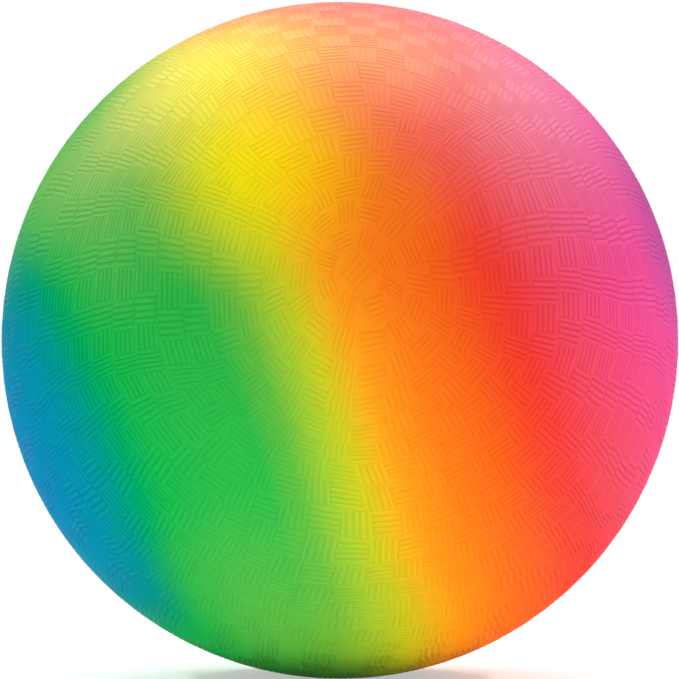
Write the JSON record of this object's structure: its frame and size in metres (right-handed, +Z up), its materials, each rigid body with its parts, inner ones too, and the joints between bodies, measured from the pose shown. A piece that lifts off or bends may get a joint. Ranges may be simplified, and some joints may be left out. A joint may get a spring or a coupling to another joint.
{
  "type": "inflatable playground ball",
  "caption": "Inflatable rubber playground ball in rainbow bands with a moulded basket-weave grip and a flush needle valve whose core pulls out.",
  "frame": {"origin": "centre of the ball", "axes": "+Z up from the floor contact, the valve at the back towards +Y and a little below level"},
  "size_m": [0.2286, 0.2286, 0.2282],
  "materials": {
    "cover_rubber": "satin, sprayed in blue, green, yellow, orange, red, pink and purple bands",
    "bladder_rubber": "matt, dusted with chalk",
    "patch_rubber": "matt, buffed",
    "valve_rubber": "satin moulded",
    "core_rubber": "satin moulded, oiled"
  },
  "bodies": {
    "ball": {"cover": "cover_rubber", "bladder": "bladder_rubber", "valve_patch": "patch_rubber", "valve_body": "valve_rubber"},
    "core": {"valve_core": "core_rubber"}
  },
  "joints": [
    {"name": "valve_core_pull", "type": "slide", "parent": "ball", "child": "core", "axis": [-0.06, 0.9814, -0.1822], "range_m": [0, 0.021]}
  ]
}
